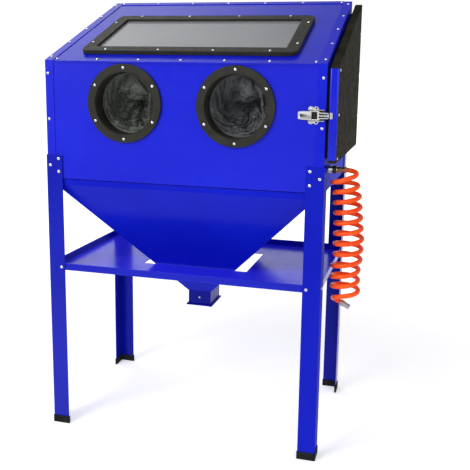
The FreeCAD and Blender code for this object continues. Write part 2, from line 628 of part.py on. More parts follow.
def make_lamp():
    """Tube lamp under the roof, behind the window; drawn in the roof's own directions."""
    top = -2 * D["gauge"]
    tray = block(-210, 210, 428, 476, top - 16, top).cut(block(-208, 208, 430, 474, top - 20, top - 2))
    ends = [block(x - 6, x + 6, 440, 464, top - 34, top - 2) for x in (-196, 196)]
    housing = tray.fuse(ends).cut(rod(8, (-300, 452, top - 24), (300, 452, top - 24)))
    feature("lamp_housing", housing.removeSplitter(), ON_ROOF)
    feature("lamp_tube", rod(8, (-202, 452, top - 24), (202, 452, top - 24)), ON_ROOF)


def make_gun():
    """Suction blast gun lying on the grate, pointing left, with its trigger under the barrel."""
    x, y, z = 240.0, 400.0, D["grate_level"] + 2.5 + 16.3
    barrel = rod(16, (x - 55, y, z), (x + 50, y, z))
    grip = block(x + 14, x + 40, y + 8, y + 108, z - 12, z + 12)
    guard = block(x - 20, x - 14, y + 12, y + 52, z - 5, z + 5)
    pivots = [block(x - 22, x - 2, y + 10, y + 24, z + s * 8 - 2, z + s * 8 + 2) for s in (-1, 1)]
    inlet = rod(8, (x + 50, y, z), (x + 68, y, z))
    body = barrel.fuse([grip, inlet] + pivots)
    body = body.cut(rod(2, (x - 8, y + 20, z - 20), (x - 8, y + 20, z + 20)))
    feature("gun_body", body.removeSplitter())
    nozzle = rod(11, (x - 95, y, z), (x - 55, y, z)).cut(rod(4, (x - 96, y, z), (x - 54, y, z)))
    feature("gun_nozzle", nozzle)
    trigger = block(x - 12, x - 4, y + 18, y + 78, z - 5, z + 5)
    pin = rod(1.94, (x - 8, y + 20, z - 10), (x - 8, y + 20, z + 10))
    feature("gun_trigger", trigger.fuse(pin).removeSplitter())


def make_exhaust():
    """Recessed hose socket on the rear wall for a dust extractor."""
    x, z, r = D["exhaust_x"], D["exhaust_level"], D["exhaust_bore"]
    face = D["body_rear"] - D["gauge"]
    tube = rod(r + 3, (x, face - 40, z), (x, face, z))
    flange = block(x - 48, x + 48, face, face + 3, z - 48, z + 48)
    feature("exhaust_port", tube.fuse(flange).cut(rod(r, (x, face - 50, z), (x, face + 9, z))).removeSplitter())


# ---------------------------------------------------------------- fasteners

def make_fasteners():
    across, pitch = 131.3, 127.0
    on_roof = [(k * across, 19, -D["gauge"]) for k in range(-3, 4)]
    on_roof += [(k * across, 560, 0) for k in range(-3, 4)]
    on_roof += [(s * 418, 32 + pitch * k, 0) for s in (-1, 1) for k in range(5)]
    heads = [pan_head(4.4, 2.6, place, (0, 0, 1)) for place in on_roof]
    group("roof_screws", heads, ON_ROOF)

    face = D["skin_front"]
    spots = [(s * 418, z) for s in (-1, 1) for z in (992, 1130)]
    heads = [pan_head(4.4, 2.6, (x, face, z), (0, -1, 0)) for x, z in spots]
    heads += [pan_head(3.4, 2.2, (385, face - 2, D["latch_level"] + s * 18.5), (0, -1, 0)) for s in (-1, 1)]
    heads.append(pan_head(3.2, 2.2, (0, D["neck_front"], 402), (0, -1, 0)))
    group("panel_screws", heads)

    bolts = []
    for s in (-1, 1):
        for x, z in ((389, 871.5), (417, 851), (389, 831.5), (388.5, 528)):
            bolts.append(pan_head(5, 3.2, (s * x, 0, z), (0, -1, 0)))
            bolts.append(pan_head(5, 3.2, (s * x, D["leg_rear"], z), (0, 1, 0)))
        for y in (28, 495):
            bolts.append(pan_head(5, 2, (s * D["half_width"], y, 528), (s, 0, 0)))
    group("frame_bolts", bolts)

    level = D["window_thick"] - D["gauge"]
    middle = (D["window_front"] + D["window_rear"]) / 2
    spots = [(x, middle + s * 157) for s in (-1, 1) for x in (-254, -85, 85, 254)]
    spots += [(s * 322, middle + t * 94) for s in (-1, 1) for t in (-1, 1)]
    group("window_screws", [pan_head(4, 2.4, (x, s, level), (0, 0, 1)) for x, s in spots], ON_ROOF)

    heads = []
    for side in (-1, 1):
        for k in range(6):
            a = math.radians(30 + 60 * k)
            heads.append(pan_head(4.4, 3, (side * D["port_spread"] + 104.5 * math.cos(a), D["ring_front"],
                                           D["port_level"] + 104.5 * math.sin(a)), (0, -1, 0)))
    group("ring_screws", heads)

    outer = D["door_outer"]
    heads = [pan_head(4, 1.6, (outer, 24, z), (1, 0, 0)) for z in (908, 1030, 1152)]
    heads += [pan_head(4.4, 2, (outer, 531, z), (1, 0, 0)) for z in HINGE_LEVELS]
    group("door_screws", heads)


make_front_panel()
make_roof_panel()
make_side_panels()
make_rear_panel()
make_legs_and_feet()
make_shelf()
make_hopper()
make_outlet()
make_glove_ports()
make_window()
make_door()
make_hinges()
make_latch()
make_hose(make_air_inlet())
make_grate()
make_lamp()
make_gun()
make_exhaust()
make_fasteners()
doc.recompute()

for thing in doc.Objects:
    if any(flag in thing.State for flag in ("Invalid", "Error")):
        raise RuntimeError(f"{thing.Label} failed to build")
os.makedirs("parts", exist_ok=True)
low, high = [1e9] * 3, [-1e9] * 3
for node in nodes:
    shape = node.Shape
    if shape.isNull() or not shape.isValid() or not shape.Solids:
        raise RuntimeError(f"{node.Label} has no valid solid")
    shape.exportStep(os.path.join("parts", node.Label + ".step"))
    if not node.Label.startswith("hose_"):
        box = shape.BoundBox
        low = [min(a, b) for a, b in zip(low, (box.XMin, box.YMin, box.ZMin))]
        high = [max(a, b) for a, b in zip(high, (box.XMax, box.YMax, box.ZMax))]
print(len(nodes), "nodes; box", [round(v, 2) for v in low], [round(v, 2) for v in high])
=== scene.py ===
"""Sandblast cabinet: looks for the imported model.

Lengths in the helpers are millimetres in the cabinet's own coordinates: x from the middle of the
front panel, y from the front of the legs, z from the floor. `at` turns them into the row frame.
"""
import bpy
import bmesh
import json
import math
from mathutils import Matrix, Vector, noise

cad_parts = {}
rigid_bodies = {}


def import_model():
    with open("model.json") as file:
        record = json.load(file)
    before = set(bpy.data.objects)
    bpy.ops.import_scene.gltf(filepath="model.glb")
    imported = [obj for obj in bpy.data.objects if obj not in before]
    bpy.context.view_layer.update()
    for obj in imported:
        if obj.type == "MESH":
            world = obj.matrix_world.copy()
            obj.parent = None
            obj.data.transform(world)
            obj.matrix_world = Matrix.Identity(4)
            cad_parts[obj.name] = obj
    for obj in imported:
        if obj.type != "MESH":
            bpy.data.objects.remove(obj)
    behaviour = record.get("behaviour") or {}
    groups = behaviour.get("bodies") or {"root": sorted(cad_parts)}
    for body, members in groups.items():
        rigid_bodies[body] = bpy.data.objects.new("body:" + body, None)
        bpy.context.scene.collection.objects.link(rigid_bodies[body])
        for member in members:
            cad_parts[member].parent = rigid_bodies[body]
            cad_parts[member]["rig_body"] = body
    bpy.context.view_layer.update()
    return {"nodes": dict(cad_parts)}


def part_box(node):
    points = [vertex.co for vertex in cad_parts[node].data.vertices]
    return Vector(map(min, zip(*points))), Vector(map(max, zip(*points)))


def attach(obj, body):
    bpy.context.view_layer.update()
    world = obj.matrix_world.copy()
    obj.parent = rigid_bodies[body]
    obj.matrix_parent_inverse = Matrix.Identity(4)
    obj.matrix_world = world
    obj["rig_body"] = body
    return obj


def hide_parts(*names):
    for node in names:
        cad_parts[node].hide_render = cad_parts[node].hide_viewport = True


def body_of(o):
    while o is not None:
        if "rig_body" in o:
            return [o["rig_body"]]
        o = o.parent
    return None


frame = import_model()
NODES = frame["nodes"]
MM = 0.001
SQUARE = ((-1, -1), (1, -1), (1, 1), (-1, 1))

LEFT_RING, RIGHT_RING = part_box("glove_ring_left"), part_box("glove_ring_right")
ORIGIN = Vector(((LEFT_RING[0].x + RIGHT_RING[1].x) / 2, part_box("leg_front_left")[0].y, 0))
PORT_LEVEL = (LEFT_RING[0].z + LEFT_RING[1].z) / 2 / MM
PORT_SPREAD = (RIGHT_RING[0].x + RIGHT_RING[1].x) / 2 / MM - ORIGIN.x / MM


def at(x, y, z):
    """A place in the row frame, in metres, from cabinet millimetres."""
    return ORIGIN + Vector((x, y, z)) * MM


def box_mm(node):
    """A node's lowest and highest corners in cabinet millimetres."""
    return [(corner - ORIGIN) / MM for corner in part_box(node)]


# ---------------------------------------------------------------- camera

CAMERA_PLACE = (708.5, -1984.8, 1157.3)
CAMERA_YAW, CAMERA_PITCH, CAMERA_ROLL = 0.2635, -0.1758, 0.0149
CAMERA_LENS, CAMERA_SENSOR, CAMERA_SHIFT = 55.39, 36, -0.0852


def make_camera():
    """Seen from the front, a little to the right and above the middle of the cabinet."""
    yaw, pitch, roll = CAMERA_YAW, CAMERA_PITCH, CAMERA_ROLL
    forward = Vector((-math.sin(yaw) * math.cos(pitch), math.cos(yaw) * math.cos(pitch), math.sin(pitch)))
    level = Vector((math.cos(yaw), math.sin(yaw), 0))
    upright = level.cross(forward)
    right = level * math.cos(roll) + upright * math.sin(roll)
    above = upright * math.cos(roll) - level * math.sin(roll)
    data = bpy.data.cameras.new("camera")
    data.sensor_width = CAMERA_SENSOR
    data.lens = CAMERA_LENS
    data.shift_y = CAMERA_SHIFT
    camera = bpy.data.objects.new("camera", data)
    turn = Matrix((right, above, -forward)).transposed().to_4x4()
    camera.matrix_world = Matrix.Translation(at(*CAMERA_PLACE)) @ turn
    bpy.context.scene.collection.objects.link(camera)
    bpy.context.scene.camera = camera


# ---------------------------------------------------------------- node helpers

def map_range(tree, source, start, end, low, high):
    node = tree.nodes.new("ShaderNodeMapRange")
    node.inputs["From Min"].default_value = start
    node.inputs["From Max"].default_value = end
    node.inputs["To Min"].default_value = low
    node.inputs["To Max"].default_value = high
    tree.links.new(source, node.inputs["Value"])
    return node.outputs["Result"]


def combine(tree, operation, first, second):
    """A math node; the second operand is an output or a plain number."""
    node = tree.nodes.new("ShaderNodeMath")
    node.operation = operation
    tree.links.new(first, node.inputs[0])
    if isinstance(second, float):
        node.inputs[1].default_value = second
    else:
        tree.links.new(second, node.inputs[1])
    return node.outputs["Value"]


def axis_of(tree, source, axis):
    split = tree.nodes.new("ShaderNodeSeparateXYZ")
    tree.links.new(source, split.inputs["Vector"])
    return split.outputs[axis]


def full_when_seen(tree, value):
    """The value for light that bounces, and at least 1 where the backdrop is looked at directly."""
    path = tree.nodes.new("ShaderNodeLightPath")
    return combine(tree, "MAXIMUM", value, path.outputs["Is Camera Ray"])


# ---------------------------------------------------------------- light and floor

MIDDLE = (0, 260, 800)
KEY_PLACE, KEY_SIZE, KEY_WATTS = (-1500, -2500, 2600), 1.5, 73
FILL_PLACE, FILL_SIZE, FILL_WATTS = (1500, -3000, 1700), 1.6, 30
FLOOR_SPAN = 200.0
DIM_FROM, DIM_TO = -330, -1500
LENS_SIDE = (-0.157, -0.985, -0.065)


def area_light(name, place, size, watts):
    data = bpy.data.lights.new(name, "AREA")
    data.shape = "RECTANGLE"
    data.size = data.size_y = size
    data.energy = watts
    light = bpy.data.objects.new(name, data)
    aim = (at(*MIDDLE) - at(*place)).to_track_quat("-Z", "Y")
    light.matrix_world = Matrix.Translation(at(*place)) @ aim.to_matrix().to_4x4()
    bpy.context.scene.collection.objects.link(light)


def direction_shade(tree, direction, start, end, low, high):
    """Strength that eases from low to high as a world direction nears the given one."""
    place = tree.nodes.new("ShaderNodeTexCoord")
    towards = tree.nodes.new("ShaderNodeVectorMath")
    towards.operation = "DOT_PRODUCT"
    towards.inputs[1].default_value = Vector(direction).normalized()
    tree.links.new(place.outputs["Generated"], towards.inputs[0])
    shade = map_range(tree, towards.outputs["Value"], start, end, low, high)
    shade.node.interpolation_type = "SMOOTHSTEP"
    return shade


def make_world():
    """White backdrop with a dim room in front of the cabinet. The room has a darker corner with one small
    bright lamp, which the latch mirrors, and a wide screen on the left, which the front panel mirrors.
    High up behind, a dim patch is what the right of the roof mirrors."""
    world = bpy.data.worlds.new("studio")
    world.use_nodes = True
    bpy.context.scene.world = world
    tree = world.node_tree
    background = tree.nodes["Background"]
    background.inputs["Color"].default_value = (1, 1, 1, 1)
    room = direction_shade(tree, (0, -1, 0), -0.45, 0.35, 1.06, 0.30)
    patch = direction_shade(tree, (0.25, 0.68, 0.69), 0.77, 0.95, 1.0, 0.26)
    corner = direction_shade(tree, LENS_SIDE, 0.86, 0.975, 1.0, 0.15)
    lamp = direction_shade(tree, LENS_SIDE, 0.987, 0.995, 0.0, 1.0)
    screen = direction_shade(tree, (-0.80, -0.59, -0.05), 0.82, 0.93, 0.0, 1.5)
    walls = combine(tree, "MULTIPLY", combine(tree, "MULTIPLY", room, patch), corner)
    strength = combine(tree, "ADD", combine(tree, "ADD", walls, lamp), screen)
    tree.links.new(full_when_seen(tree, strength), background.inputs["Strength"])


def pale_floor():
    """Near white, glowing more with distance, so that it meets the backdrop. In front of the cabinet it
    throws less light back."""
    material = bpy.data.materials.new("pale_floor")
    material.use_nodes = True
    tree = material.node_tree
    shader = tree.nodes["Principled BSDF"]
    shader.inputs["Roughness"].default_value = 0.9
    shader.inputs["Emission Color"].default_value = (1, 1, 1, 1)
    place = tree.nodes.new("ShaderNodeTexCoord").outputs["Object"]
    distance = tree.nodes.new("ShaderNodeVectorMath")
    distance.operation = "LENGTH"
    tree.links.new(place, distance.inputs[0])
    glow = map_range(tree, distance.outputs["Value"], 0.8, 4.0, 0.42, 0.85)
    near, far = at(0, DIM_FROM, 0).y, at(0, DIM_TO, 0).y
    dimmed = full_when_seen(tree, map_range(tree, axis_of(tree, place, "Y"), far, near, 0.25, 1.0))
    tree.links.new(combine(tree, "MULTIPLY", glow, dimmed), shader.inputs["Emission Strength"])
    shade = tree.nodes.new("ShaderNodeValToRGB")
    shade.color_ramp.elements[0].color = (0.4, 0.4, 0.4, 1)
    shade.color_ramp.elements[1].color = (0.9, 0.9, 0.9, 1)
    tree.links.new(dimmed, shade.inputs["Fac"])
    tree.links.new(shade.outputs["Color"], shader.inputs["Base Color"])
    return material


def make_studio():
    bpy.context.scene.view_settings.view_transform = "Standard"
    make_world()
    area_light("key_light", KEY_PLACE, KEY_SIZE, KEY_WATTS)
    area_light("fill_light", FILL_PLACE, FILL_SIZE, FILL_WATTS)
    floor = bpy.data.meshes.new("floor")
    corners = [(sx * FLOOR_SPAN, sy * FLOOR_SPAN, 0) for sx, sy in SQUARE]
    floor.from_pydata(corners, [], [(0, 1, 2, 3)])
    floor.materials.append(pale_floor())
    ground = bpy.data.objects.new("floor", floor)
    bpy.context.scene.collection.objects.link(ground)


# ---------------------------------------------------------------- materials

class Paint:
    """A principled material with helpers for its procedural detail, all in object coordinates."""

    def __init__(self, name, colour, roughness, metallic=0.0, **sockets):
        self.material = bpy.data.materials.new(name)
        self.material.use_nodes = True
        self.tree = self.material.node_tree
        self.shader = self.tree.nodes["Principled BSDF"]
        self.place = self.tree.nodes.new("ShaderNodeTexCoord")
        self.height = None
        self.set("Base Color", (*colour, 1))
        self.set("Roughness", roughness)
        self.set("Metallic", metallic)
        for socket, value in sockets.items():
            self.set(socket.replace("_", " "), value)

    def set(self, socket, value):
        self.shader.inputs[socket].default_value = value

    def noise(self, scale, detail=2.0, stretch=(1, 1, 1)):
        """Noise of about 1/scale metres, optionally stretched along an axis."""
        spread = self.tree.nodes.new("ShaderNodeMapping")
        spread.inputs["Scale"].default_value = stretch
        field = self.tree.nodes.new("ShaderNodeTexNoise")
        field.inputs["Scale"].default_value = scale
        field.inputs["Detail"].default_value = detail
        self.tree.links.new(self.place.outputs["Object"], spread.inputs["Vector"])
        self.tree.links.new(spread.outputs["Vector"], field.inputs["Vector"])
        return field.outputs["Fac"]

    def vary_roughness(self, source, low, high):
        share = map_range(self.tree, source, 0.3, 0.7, low, high)
        self.tree.links.new(share, self.shader.inputs["Roughness"])
        return self

    def vary_colour(self, source, dark, light):
        ramp = self.tree.nodes.new("ShaderNodeValToRGB")
        ramp.color_ramp.elements[0].color = (*dark, 1)
        ramp.color_ramp.elements[0].position = 0.3
        ramp.color_ramp.elements[1].color = (*light, 1)
        ramp.color_ramp.elements[1].position = 0.7
        self.tree.links.new(source, ramp.inputs["Fac"])
        self.tree.links.new(ramp.outputs["Color"], self.shader.inputs["Base Color"])
        return self

    def cover(self, share, colour):
        """Another colour over the present one, where share is 1."""
        blend = self.tree.nodes.new("ShaderNodeMix")
        blend.data_type = "RGBA"
        base = self.shader.inputs["Base Color"]
        self.tree.links.new(share, blend.inputs["Factor"])
        self.tree.links.new(base.links[0].from_socket, blend.inputs["A"])
        blend.inputs["B"].default_value = (*colour, 1)
        self.tree.links.new(blend.outputs["Result"], base)
        return self

    def paint_top_light(self, colour):
        """Faces that point upwards take another colour: painted light, as if lit from above."""
        upward = axis_of(self.tree, self.place.outputs["Normal"], "Z")
        return self.cover(map_range(self.tree, upward, 0.2, 0.5, 0, 1), colour)

    def paint_shade_band(self, axis, middle, lit_at, shaded_at, colour):
        """Painted shade: another colour where the distance from a plane is near the shaded distance, and
        none near the lit one. It darkens hollows and the gap between parts, where shade falls.
        """
        place = axis_of(self.tree, self.place.outputs["Object"], axis)
        gap = combine(self.tree, "SUBTRACT", place, middle)
        away = self.tree.nodes.new("ShaderNodeMath")
        away.operation = "ABSOLUTE"
        self.tree.links.new(gap, away.inputs[0])
        low, high = sorted((lit_at, shaded_at))
        ends = (0, 1) if lit_at < shaded_at else (1, 0)
        return self.cover(map_range(self.tree, away.outputs["Value"], low, high, *ends), colour)

    def bump(self, source, strength, depth_mm):
        node = self.tree.nodes.new("ShaderNodeBump")
        node.inputs["Strength"].default_value = strength
        node.inputs["Distance"].default_value = depth_mm * MM
        self.tree.links.new(source, node.inputs["Height"])
        if self.height:
            self.tree.links.new(self.height, node.inputs["Normal"])
        self.height = node.outputs["Normal"]
        self.tree.links.new(self.height, self.shader.inputs["Normal"])
        return self


def powder_coat(name, dark, light, gloss, top_light_colour=None):
    """Gloss powder coat with a faint orange peel and slow changes of shade. An optional colour on upward
    faces is painted top light.
    """
    paint = Paint(name, light, 0.2, IOR=gloss)
    paint.vary_colour(paint.noise(4.0, 3.0), dark, light)
    # the colour for upward faces is painted light on the tops, not a coat of dust
    if top_light_colour:
        paint.paint_top_light(top_light_colour)
    paint.vary_roughness(paint.noise(40.0), 0.16, 0.26)
    paint.bump(paint.noise(160.0, 1.0), 0.10, 0.5)
    return paint.bump(paint.noise(700.0, 1.0), 0.08, 0.3).material


def textured_black(name):
    paint = Paint(name, (0.02, 0.02, 0.016), 0.6, IOR=1.04)
    paint.vary_colour(paint.noise(16.0, 4.0), (0.011, 0.0105, 0.0065), (0.027, 0.0255, 0.0175))
    paint.vary_roughness(paint.noise(60.0), 0.5, 0.7)
    return paint.bump(paint.noise(520.0, 3.0), 0.35, 0.5).material


def moulded_black(name, shade):
    paint = Paint(name, shade, 0.42, IOR=1.22)
    paint.vary_colour(paint.noise(30.0, 3.0), tuple(c * 0.8 for c in shade), tuple(c * 1.25 for c in shade))
    paint.vary_roughness(paint.noise(90.0), 0.34, 0.5)
    return paint.bump(paint.noise(900.0, 2.0), 0.2, 0.2).material


def rubber(name):
    paint = Paint(name, (0.010, 0.010, 0.011), 0.8, Specular_IOR_Level=0.1)
    paint.vary_colour(paint.noise(50.0, 4.0), (0.006, 0.006, 0.007), (0.016, 0.016, 0.017))
    return paint.bump(paint.noise(1200.0, 2.0), 0.3, 0.2).material


def metal_paint(name, colour, roughness, grain, stretch=(1, 1, 1), metallic=1.0):
    """Plated, brushed or polished metal: grain is the size of its roughness marks in 1/metres."""
    paint = Paint(name, colour, roughness, metallic)
    marks = paint.noise(grain, 3.0, stretch)
    paint.vary_roughness(marks, roughness * 0.7, roughness * 1.4)
    paint.vary_colour(paint.noise(25.0, 3.0), tuple(c * 0.86 for c in colour), colour)
    return paint.bump(marks, 0.08, 0.1)


def metal(*arguments):
    return metal_paint(*arguments).material


def chrome_paint(name):
    """Bright plating with the slow waves that pressing leaves."""
    paint = metal_paint(name, (0.84, 0.85, 0.86), 0.07, 300.0, metallic=0.68)
    return paint.bump(paint.noise(80.0, 1.0), 0.06, 3.0)


def window_pane(name):
    """Clear acrylic with a pale protective film that mutes what is behind it."""
    paint = Paint(name, (0.62, 0.65, 0.65), 0.12, IOR=1.49, Transmission_Weight=0.25)
    paint.vary_colour(paint.noise(2.5, 2.0), (0.26, 0.27, 0.305), (0.33, 0.35, 0.36))
    paint.vary_roughness(paint.noise(18.0), 0.08, 0.2)
    return paint.bump(paint.noise(30.0, 2.0), 0.05, 0.3).material


def lamp_glass(name):
    paint = Paint(name, (0.92, 0.92, 0.88), 0.3, Transmission_Weight=0.4)
    return paint.vary_roughness(paint.noise(60.0), 0.25, 0.4).material


def hose_plastic(name):
    paint = Paint(name, (0.9, 0.09, 0.005), 0.24, IOR=1.33)
    paint.vary_colour(paint.noise(14.0, 3.0), (0.84, 0.058, 0.002), (0.95, 0.105, 0.005))
    paint.vary_roughness(paint.noise(90.0), 0.2, 0.34)
    return paint.bump(paint.noise(260.0, 2.0), 0.08, 0.3).material


def glove_cloth(name, dark, light):
    """Rubberised cloth: a fine weave under a dull skin, scuffed lighter in patches."""
    paint = Paint(name, light, 0.5, Sheen_Weight=0.35, Sheen_Roughness=0.45)
    paint.vary_colour(paint.noise(26.0, 5.0), dark, light)
    paint.vary_roughness(paint.noise(70.0), 0.36, 0.58)
    paint.bump(paint.noise(220.0, 3.0), 0.25, 0.8)
    return paint.bump(paint.noise(1500.0, 1.0), 0.25, 0.3).material


BLUE = powder_coat("blue_coat", (0.004, 0.009, 0.49), (0.006, 0.013, 0.57), 1.36)
# The blues below are copies of the one blue coat, darker or lighter per part. There is painted shade on the
# front legs, the hopper, the gate, the rear legs and the outlet, painted light on the right side, and both
# on the shelf. The extra colour given for upward faces is painted top light.
BLUE_LEG_SHADED = powder_coat("blue_coat_leg_shaded", (0.002, 0.006, 0.33), (0.003, 0.009, 0.38), 1.3)
BLUE_SHELF_SHADED_LIT_TOP = powder_coat("blue_coat_shelf_shaded_lit_top", (0.003, 0.007, 0.38), (0.004, 0.010, 0.45), 1.33,
                         (0.03, 0.03, 0.85))
BLUE_INNER_SHADED = powder_coat("blue_coat_inner_shaded", (0.003, 0.008, 0.41), (0.004, 0.011, 0.49), 1.19)
BLUE_SIDE_LIT = powder_coat("blue_coat_side_lit", (0.010, 0.016, 0.50), (0.013, 0.021, 0.58), 1.014,
                        (0.045, 0.048, 0.52))
BLUE_LEG_SIDE_SHADED = powder_coat("blue_coat_leg_side_shaded", (0.007, 0.012, 0.40), (0.010, 0.017, 0.46), 1.014)
BLUE_SHADOWED = powder_coat("blue_coat_shadowed", (0.002, 0.005, 0.25), (0.003, 0.007, 0.31), 1.2)
BLACK_DOOR = textured_black("black_coat")
BLACK_TRIM = moulded_black("black_trim", (0.024, 0.0235, 0.019))
BLACK_RUBBER = rubber("black_rubber")
# painted shade for the latch: the dark colour of its hollows and of the gap between its cheeks
LATCH_SHADE = (0.045, 0.045, 0.035)
LEVER_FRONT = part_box("latch_lever")[0].y
LATCH_LEVEL = sum(corner.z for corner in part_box("latch_base")) / 2
CHROME = chrome_paint("chrome").material
# painted shade: the lever darkens where it lies deeper than its front rim, and the base darkens near its
# middle level
CHROME_LEVER_SHADED = chrome_paint("chrome_lever_shaded").paint_shade_band("Y", LEVER_FRONT, 0.0009, 0.0026, LATCH_SHADE).material
CHROME_BASE_SHADED = chrome_paint("chrome_base_shaded").paint_shade_band("Z", LATCH_LEVEL, 0.0155, 0.0130, LATCH_SHADE).material
ZINC = metal("zinc", (0.82, 0.83, 0.86), 0.24, 900.0)
STEEL = metal("bare_steel", (0.56, 0.56, 0.57), 0.32, 260.0, (1, 1, 8))
DARK_STEEL = metal("dark_steel", (0.16, 0.15, 0.14), 0.35, 500.0)
BRASS = metal("brass", (0.80, 0.58, 0.26), 0.2, 700.0)
BRASS_DARK = metal("tarnished_brass", (0.42, 0.26, 0.16), 0.22, 500.0)
BLACK_OXIDE = metal("black_oxide", (0.10, 0.088, 0.07), 0.28, 500.0)
ALLOY = metal("cast_alloy", (0.42, 0.42, 0.44), 0.45, 900.0)
PANE = window_pane("clear_pane")
LAMP = lamp_glass("lamp_glass")
HOSE = hose_plastic("orange_hose")
# The two gloves are one cloth. The green cast on the left and the blue cast on the right are painted light
# from what is around them.
CLOTH_LEFT_GREEN_CAST = glove_cloth("glove_cloth_left", (0.018, 0.024, 0.018), (0.062, 0.074, 0.058))
CLOTH_RIGHT_BLUE_CAST = glove_cloth("glove_cloth_right", (0.017, 0.020, 0.022), (0.055, 0.062, 0.068))

# finish of each node whose name starts so; the first match counts, and what is left is blue. The other blues
# put painted shade and painted light on single parts of the one blue paint.
FINISHES = {
    "leg_rear": BLUE_SHADOWED, "leg_front_right": BLUE_LEG_SIDE_SHADED, "leg_front_left": BLUE_LEG_SHADED,
    "right_side": BLUE_SIDE_LIT, "shelf": BLUE_SHELF_SHADED_LIT_TOP, "hopper_outlet": BLUE_SHADOWED, "hopper": BLUE_INNER_SHADED,
    "outlet_gate": BLUE_INNER_SHADED, "foot_": BLACK_RUBBER,
    "window_frame": BLACK_TRIM, "window_gasket": BLACK_RUBBER, "window_glass": PANE,
    "glove_ring": BLACK_TRIM, "glove_collar": BLACK_TRIM,
    "door_panel": BLACK_DOOR, "door_liner": BLACK_DOOR, "door_seal": BLACK_RUBBER,
    "hinge_leaves": DARK_STEEL, "hinge_pins": STEEL, "latch_base": CHROME_BASE_SHADED, "latch_": CHROME,
    "air_inlet_body": STEEL, "air_inlet_nut": BRASS, "coupler_sleeve": BLACK_OXIDE,
    "hose_plug": BRASS, "hose_connector": ALLOY, "gun_nozzle": STEEL, "gun_": ALLOY,
    "work_grate": STEEL, "grate_rail": STEEL, "lamp_housing": STEEL, "lamp_tube": LAMP,
    "exhaust_port": BLACK_TRIM, "gate_pivot_screw": ZINC, "roof_screws": ZINC, "panel_screws": ZINC,
    "frame_bolts": ZINC, "window_screws": ZINC, "ring_screws": ZINC, "door_screws": ZINC,
}
# width of the rounded edges in millimetres
EDGE_WIDTHS = {"window_frame": 1.6, "foot_": 1.2, "glove_ring": 1.2, "door_panel": 1.2, "latch_": 0.35}
THIN_EDGE = 0.5


def by_prefix(table, name, otherwise):
    return next((value for prefix, value in table.items() if name.startswith(prefix)), otherwise)


# ---------------------------------------------------------------- mesh helpers

def round_edges(thing, width, angle, harden=False):
    bevel = thing.modifiers.new("edge", "BEVEL")
    bevel.width = width * MM
    bevel.segments = 2
    bevel.limit_method = "ANGLE"
    bevel.angle_limit = math.radians(angle)
    bevel.harden_normals = harden


def dress_frame():
    """Every CAD node gets its finish, and its sheet edges get the small radius that paint gives them."""
    for name, node in NODES.items():
        node.data.materials.clear()
        node.data.materials.append(by_prefix(FINISHES, name, BLUE))
        weld = node.modifiers.new("weld", "WELD")
        weld.merge_threshold = 0.02 * MM
        round_edges(node, by_prefix(EDGE_WIDTHS, name, THIN_EDGE), 32, harden=True)


def new_object(name, mesh, material, body):
    thing = bpy.data.objects.new(name, mesh)
    bpy.context.scene.collection.objects.link(thing)
    mesh.materials.append(material)
    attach(thing, body)
    return thing


def scratch_object(name, mesh):
    """An object that helps to make a piece and is removed afterwards."""
    thing = bpy.data.objects.new(name, mesh)
    bpy.context.scene.collection.objects.link(thing)
    return thing


def circle(sides, radius=1.0):
    """Points of a circle as pairs, anticlockwise from the first axis."""
    return [(radius * math.cos(math.tau * i / sides), radius * math.sin(math.tau * i / sides))
            for i in range(sides)]


def join_rings(form, low, high):
    """A band of faces between two closed rings with equally many points."""
    for i in range(len(low)):
        k = (i + 1) % len(low)
        form.faces.new((low[i], low[k], high[k], high[i]))


def join_rows(form, low, high):
    """A strip of faces between two open rows with equally many points."""
    for i in range(len(low) - 1):
        form.faces.new((low[i], low[i + 1], high[i + 1], high[i]))


def close_ends(form, rings):
    form.faces.new(rings[-1])
    form.faces.new(reversed(rings[0]))


def add_solid(form, rings):
    """A closed solid through rings of places."""
    rings = [[form.verts.new(place) for place in ring] for ring in rings]
    for low, high in zip(rings, rings[1:]):
        join_rings(form, low, high)
    close_ends(form, rings)


def to_mesh(form, name):
    mesh = bpy.data.meshes.new(name)
    form.to_mesh(mesh)
    form.free()
    return mesh


def smooth(mesh, sharp=None):
    """Smooth shading, with edges sharper than an angle in degrees kept crisp."""
    for face in mesh.polygons:
        face.use_smooth = True
    if sharp:
        mesh.set_sharp_from_angle(angle=math.radians(sharp))


def closed_mesh(form, name, sharp=None):
    bmesh.ops.recalc_face_normals(form, faces=form.faces)
    mesh = to_mesh(form, name)
    smooth(mesh, sharp)
    return mesh


# ---------------------------------------------------------------- air hose

TUBE = 13.5
COIL_TURNS = 11.25
TURN_PITCH = 30.9
STEPS_PER_TURN = 16
COIL_TOP = 859.8
HOSE_Y = 62.0
# turn, centre x, mean radius and how much lower the left side hangs
COIL_STATIONS = ((0, 479.5, 33.8, 4.0), (2, 489, 35, 3.0), (4, 494.5, 35.6, 2.0), (6, 497.5, 38.3, 1.0),
                 (7.5, 497.5, 37.6, 1.0), (9, 490.5, 38.8, 3.5), (10, 491, 38.2, 2.5), (11.5, 497, 34, 1.0))
HOSE_START = ((499.5, 66, 871), (514, 51.5, 867.5), (514, 30.5, 861), (499.5, 16, 856.5))
HOSE_END = ((474, 32, 505), (463, 43, 500.5), (459, 56, 494.5), (464, 62, 490.5), (472.5, 62, 486.3),
            (481, 62, 482))


def coil_at(turn):
    """Centre x, radius and tilt of the coil at a turn, eased between its stations."""
    for start, end in zip(COIL_STATIONS, COIL_STATIONS[1:]):
        if turn <= end[0]:
            break
    t = (turn - start[0]) / (end[0] - start[0])
    ease = t * t * (3 - 2 * t)
    return [start[i] + (end[i] - start[i]) * ease for i in (1, 2, 3)]


